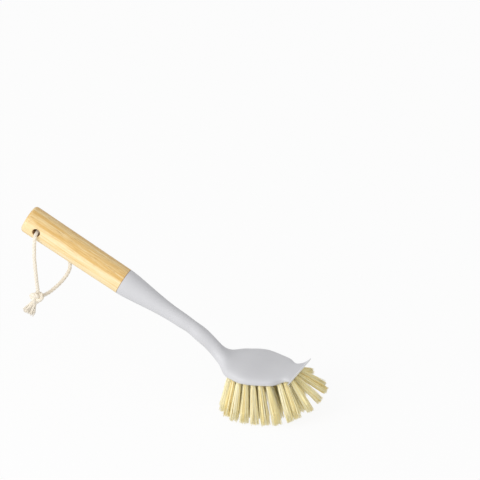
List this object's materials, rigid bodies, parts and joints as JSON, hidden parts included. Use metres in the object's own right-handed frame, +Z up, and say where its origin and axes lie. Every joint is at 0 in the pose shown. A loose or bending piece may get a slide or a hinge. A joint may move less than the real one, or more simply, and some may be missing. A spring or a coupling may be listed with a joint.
{
  "type": "dish brush",
  "caption": "Dish brush with a round bamboo handle, curved plastic neck, oval head with a scraping lip, fanned fibre tufts and a knotted hanging cord.",
  "frame": {"origin": "on the ground under the middle of the brush, measured without the hanging cord", "axes": "+X forward to the scraping lip, +Y across the head, +Z up; the brush stands on its tuft tips with the head level and the handle rises to the rear"},
  "size_m": [0.2726, 0.0787, 0.1451],
  "materials": {
    "bamboo": "sanded, clear sealed",
    "grey_plastic": "satin moulded",
    "plant_fibre": "stiff dry fibre",
    "anchor_wire": "drawn flat wire",
    "cotton_cord": "twisted cotton"
  },
  "bodies": {
    "brush": {"bamboo_handle": "bamboo", "brush_body": "grey_plastic", "front_tuft_01": "plant_fibre", "front_tuft_02": "plant_fibre", "front_tuft_03": "plant_fibre", "front_tuft_04": "plant_fibre", "front_tuft_05": "plant_fibre", "front_tuft_06": "plant_fibre", "front_tuft_07": "plant_fibre", "inner_tuft_01": "plant_fibre", "inner_tuft_02": "plant_fibre", "inner_tuft_03": "plant_fibre", "inner_tuft_04": "plant_fibre", "inner_tuft_05": "plant_fibre", "inner_tuft_06": "plant_fibre", "inner_tuft_07": "plant_fibre", "inner_tuft_08": "plant_fibre", "inner_tuft_09": "plant_fibre", "inner_tuft_10": "plant_fibre", "inner_tuft_11": "plant_fibre", "inner_tuft_12": "plant_fibre", "inner_tuft_13": "plant_fibre", "inner_tuft_14": "plant_fibre", "middle_tuft_01": "plant_fibre", "middle_tuft_02": "plant_fibre", "middle_tuft_03": "plant_fibre", "middle_tuft_04": "plant_fibre", "middle_tuft_05": "plant_fibre", "middle_tuft_06": "plant_fibre", "middle_tuft_07": "plant_fibre", "middle_tuft_08": "plant_fibre", "outer_tuft_01": "plant_fibre", "outer_tuft_02": "plant_fibre", "outer_tuft_03": "plant_fibre", "outer_tuft_04": "plant_fibre", "outer_tuft_05": "plant_fibre", "outer_tuft_06": "plant_fibre", "outer_tuft_07": "plant_fibre", "outer_tuft_08": "plant_fibre", "outer_tuft_09": "plant_fibre", "outer_tuft_10": "plant_fibre", "outer_tuft_11": "plant_fibre", "outer_tuft_12": "plant_fibre", "outer_tuft_13": "plant_fibre", "outer_tuft_14": "plant_fibre", "outer_tuft_15": "plant_fibre", "outer_tuft_16": "plant_fibre", "outer_tuft_17": "plant_fibre", "outer_tuft_18": "plant_fibre", "tuft_anchors": "anchor_wire"},
    "hanging_loop": {"hanging_cord": "cotton_cord", "cord_knot": "cotton_cord", "cord_end_left": "cotton_cord", "cord_end_right": "cotton_cord"}
  },
  "joints": [
    {"name": "loop_swing", "type": "hinge", "parent": "brush", "child": "hanging_loop", "pos_m": [-0.11964, 0, 0.12909], "axis": [0, 1, 0], "range_deg": [-40, 265]}
  ]
}
